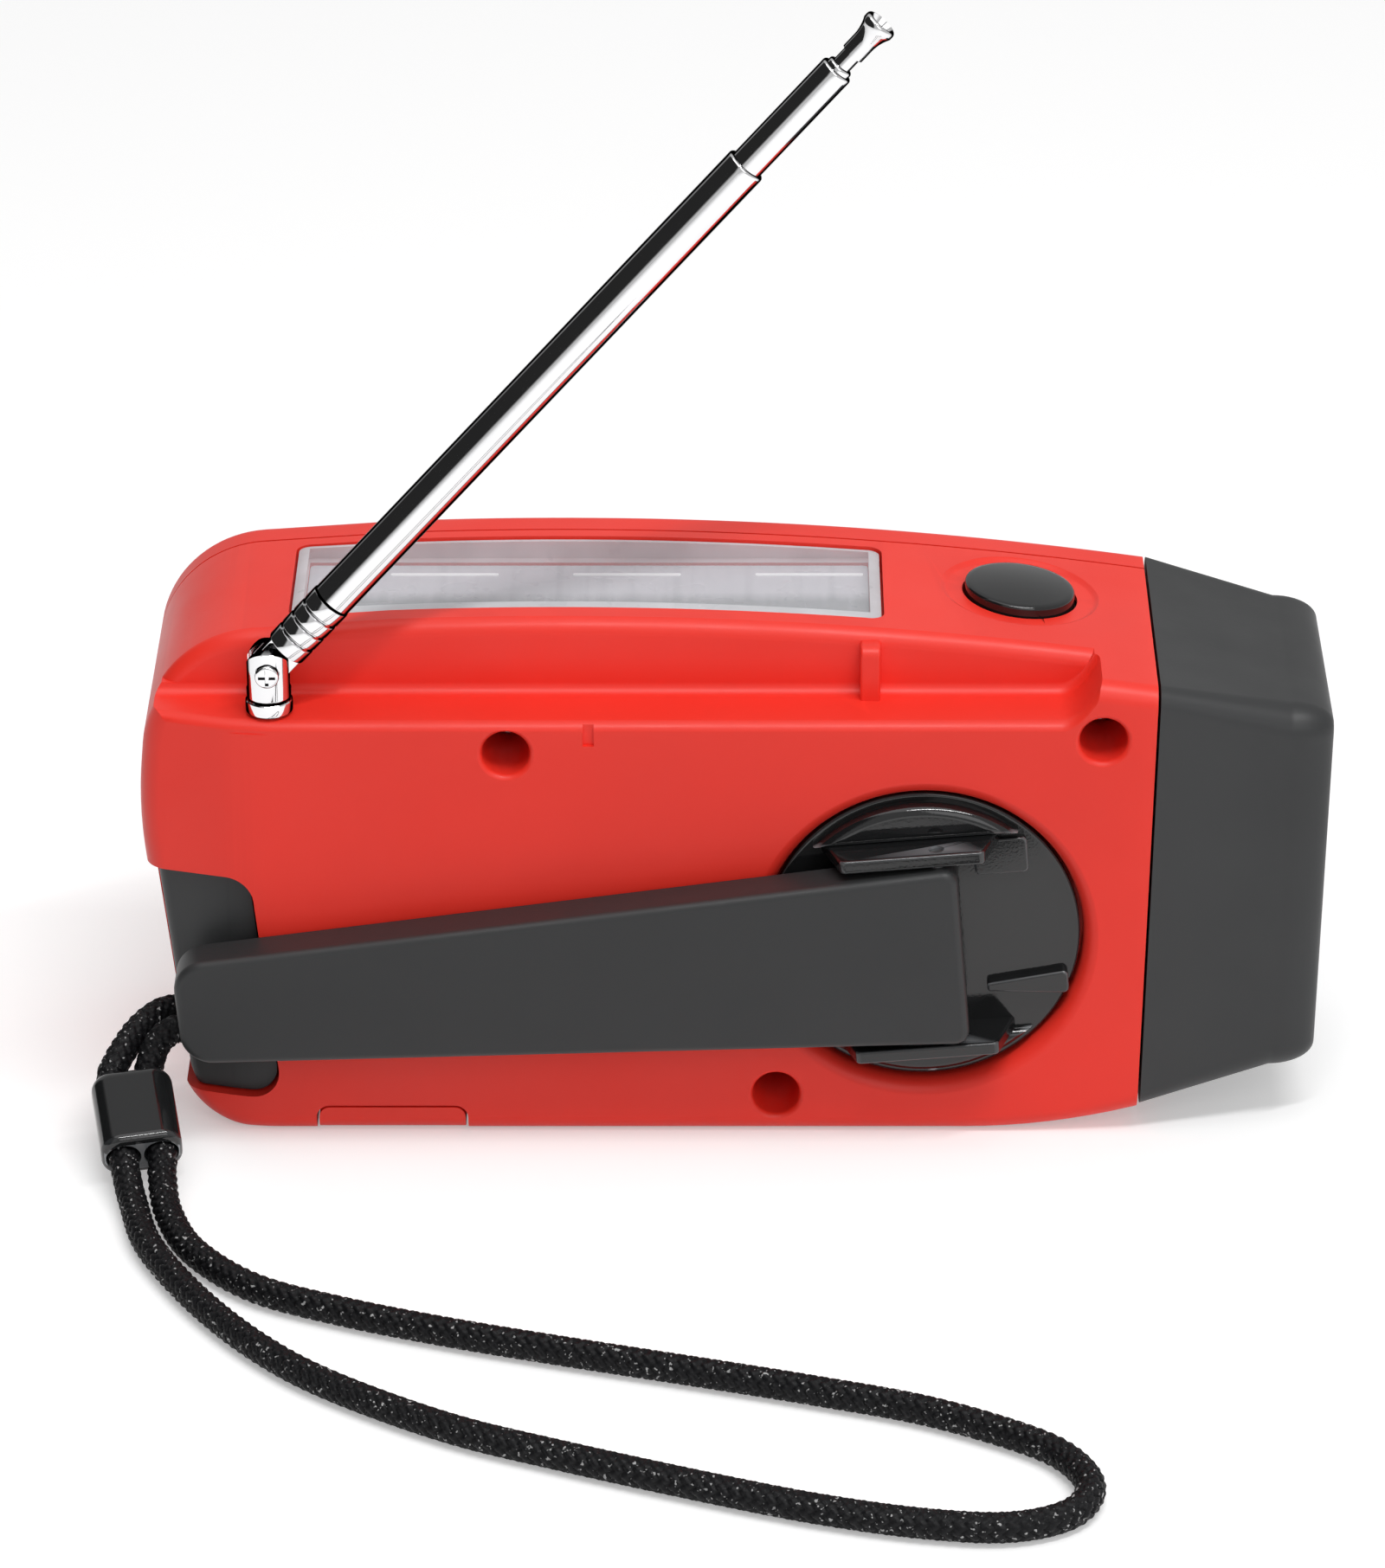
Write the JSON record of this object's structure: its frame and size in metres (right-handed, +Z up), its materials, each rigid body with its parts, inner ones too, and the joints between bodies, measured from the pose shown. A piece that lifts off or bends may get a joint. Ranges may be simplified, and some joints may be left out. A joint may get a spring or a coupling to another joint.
{
  "type": "wind-up emergency radio",
  "caption": "Hand-cranked emergency radio on its long side: red casing, folding crank, geared generator, solar top, push button, torch head, telescopic antenna and wrist lanyard.",
  "frame": {"origin": "on the flat underside, below the middle of the casing and head and midway through the casing's depth", "axes": "+X to the torch head, -Y out of the back with the crank and antenna, +Y out of the loudspeaker side, +Z up"},
  "size_m": [0.1369, 0.1299, 0.1309],
  "materials": {
    "red_plastic": "satin moulded plastic, bright red",
    "dark_grey_plastic": "fine-textured moulded plastic, charcoal",
    "gloss_black_plastic": "polished moulded plastic, black",
    "clear_plastic": "clear moulded plastic",
    "solar_glass": "dark blue-grey solar cell under resin",
    "chrome": "bright chrome plating",
    "steel": "plain steel",
    "brass": "turned brass",
    "white_plastic": "natural acetal",
    "board_green": "green solder-masked circuit board",
    "led_resin": "clear epoxy resin",
    "paper_cone": "dark pressed paper",
    "cell_sleeve": "green shrink sleeve",
    "ferrite": "sintered ferrite",
    "copper": "enamelled copper winding",
    "black_cord": "black braided cord"
  },
  "bodies": {
    "root": {"back_shell": "red_plastic", "front_shell": "red_plastic", "case_screw_upper_left": "steel", "case_screw_upper_right": "steel", "case_screw_lower": "steel", "solar_cover": "clear_plastic", "solar_cell": "solar_glass", "torch_switch": "steel", "end_inlay": "dark_grey_plastic", "lanyard_bar": "steel", "charging_socket": "steel", "shaft_bush": "brass", "idler_axle": "steel", "generator_can": "steel", "gear_plate": "steel", "head_housing": "dark_grey_plastic", "head_lens": "clear_plastic", "head_reflector": "chrome", "led_board": "board_green", "led_1": "led_resin", "led_2": "led_resin", "led_3": "led_resin", "antenna_foot": "chrome", "speaker_frame": "steel", "speaker_cone": "paper_cone", "speaker_magnet": "steel", "main_board": "board_green", "tuning_capacitor": "white_plastic", "volume_control": "steel", "band_switch": "steel", "battery_cell_1": "cell_sleeve", "battery_cell_2": "cell_sleeve", "ferrite_rod": "ferrite", "ferrite_coil": "copper", "lanyard_cord": "black_cord", "lanyard_slider": "gloss_black_plastic"},
    "crank": {"crank_hub": "gloss_black_plastic", "arm_pin": "steel", "crank_shaft": "steel", "drive_gear": "white_plastic", "shaft_clip": "steel"},
    "arm": {"crank_arm": "dark_grey_plastic", "knob_rivet": "steel"},
    "knob": {"crank_knob": "gloss_black_plastic"},
    "idler": {"idler_gear": "white_plastic"},
    "rotor": {"generator_rotor": "steel"},
    "antenna_base": {"antenna_swivel": "chrome", "antenna_pin": "chrome"},
    "antenna_mast": {"antenna_ferrule": "chrome", "antenna_tube_1": "chrome"},
    "mast_2": {"antenna_tube_2": "chrome"},
    "mast_3": {"antenna_tube_3": "chrome"},
    "mast_rod": {"antenna_rod": "chrome", "antenna_tip": "chrome"},
    "button": {"torch_button": "gloss_black_plastic"},
    "port_flap": {"port_cover": "red_plastic"},
    "dial": {"tuning_dial": "dark_grey_plastic"},
    "volume": {"volume_knob": "dark_grey_plastic"},
    "band": {"band_slider": "dark_grey_plastic"}
  },
  "joints": [
    {"name": "crank_spin", "type": "hinge", "parent": "root", "child": "crank", "pos_m": [0.0202, 0, 0.0241], "axis": [0, 1, 0], "continuous": true},
    {"name": "idler_spin", "type": "hinge", "parent": "root", "child": "idler", "pos_m": [0.00356, 0, 0.02644], "axis": [0, 1, 0], "continuous": true},
    {"name": "rotor_spin", "type": "hinge", "parent": "root", "child": "rotor", "pos_m": [-0.00618, 0, 0.03206], "axis": [0, 1, 0], "continuous": true},
    {"name": "arm_fold", "type": "hinge", "parent": "crank", "child": "arm", "pos_m": [0.02239, -0.0218, 0.02428], "axis": [-0.0819, 0, 0.9966], "range_deg": [0, 180]},
    {"name": "knob_spin", "type": "hinge", "parent": "arm", "child": "knob", "pos_m": [-0.05515, -0.0218, 0.01791], "axis": [0, 1, 0], "continuous": true},
    {"name": "antenna_swivel_turn", "type": "hinge", "parent": "root", "child": "antenna_base", "pos_m": [-0.0512, -0.0159, 0.0559], "axis": [0, 0, 1], "range_deg": [-180, 180]},
    {"name": "antenna_tilt", "type": "hinge", "parent": "antenna_base", "child": "antenna_mast", "pos_m": [-0.0512, -0.0159, 0.0559], "axis": [0, -1, 0], "range_deg": [-47.2, 90]},
    {"name": "tube_2_slide", "type": "slide", "parent": "antenna_mast", "child": "mast_2", "axis": [0.6665, 0, 0.7455], "range_m": [-0.0139, 0.04]},
    {"name": "tube_3_slide", "type": "slide", "parent": "mast_2", "child": "mast_3", "axis": [0.6665, 0, 0.7455], "range_m": [0, 0.052]},
    {"name": "rod_slide", "type": "slide", "parent": "mast_3", "child": "mast_rod", "axis": [0.6665, 0, 0.7455], "range_m": [-0.0014, 0.052]},
    {"name": "button_press", "type": "slide", "parent": "root", "child": "button", "axis": [0, 0, -1], "range_m": [0, 0.0008], "stiffness_N_per_m": 1500},
    {"name": "port_cover_hinge", "type": "hinge", "parent": "root", "child": "port_flap", "pos_m": [-0.0469, -0.0095, 0], "axis": [1, 0, 0], "range_deg": [0, 100]},
    {"name": "dial_turn", "type": "hinge", "parent": "root", "child": "dial", "pos_m": [-0.024, 0, 0.028], "axis": [0, 1, 0], "range_deg": [0, 300]},
    {"name": "volume_turn", "type": "hinge", "parent": "root", "child": "volume", "pos_m": [-0.0478, 0, 0.037], "axis": [0, 1, 0], "range_deg": [0, 270]},
    {"name": "band_slide", "type": "slide", "parent": "root", "child": "band", "axis": [0, 0, 1], "range_m": [0, 0.004]}
  ],
  "couplings": [
    {"joint": "idler_spin", "follows": "crank_spin", "ratio": -3.6667},
    {"joint": "rotor_spin", "follows": "crank_spin", "ratio": 14.667}
  ]
}
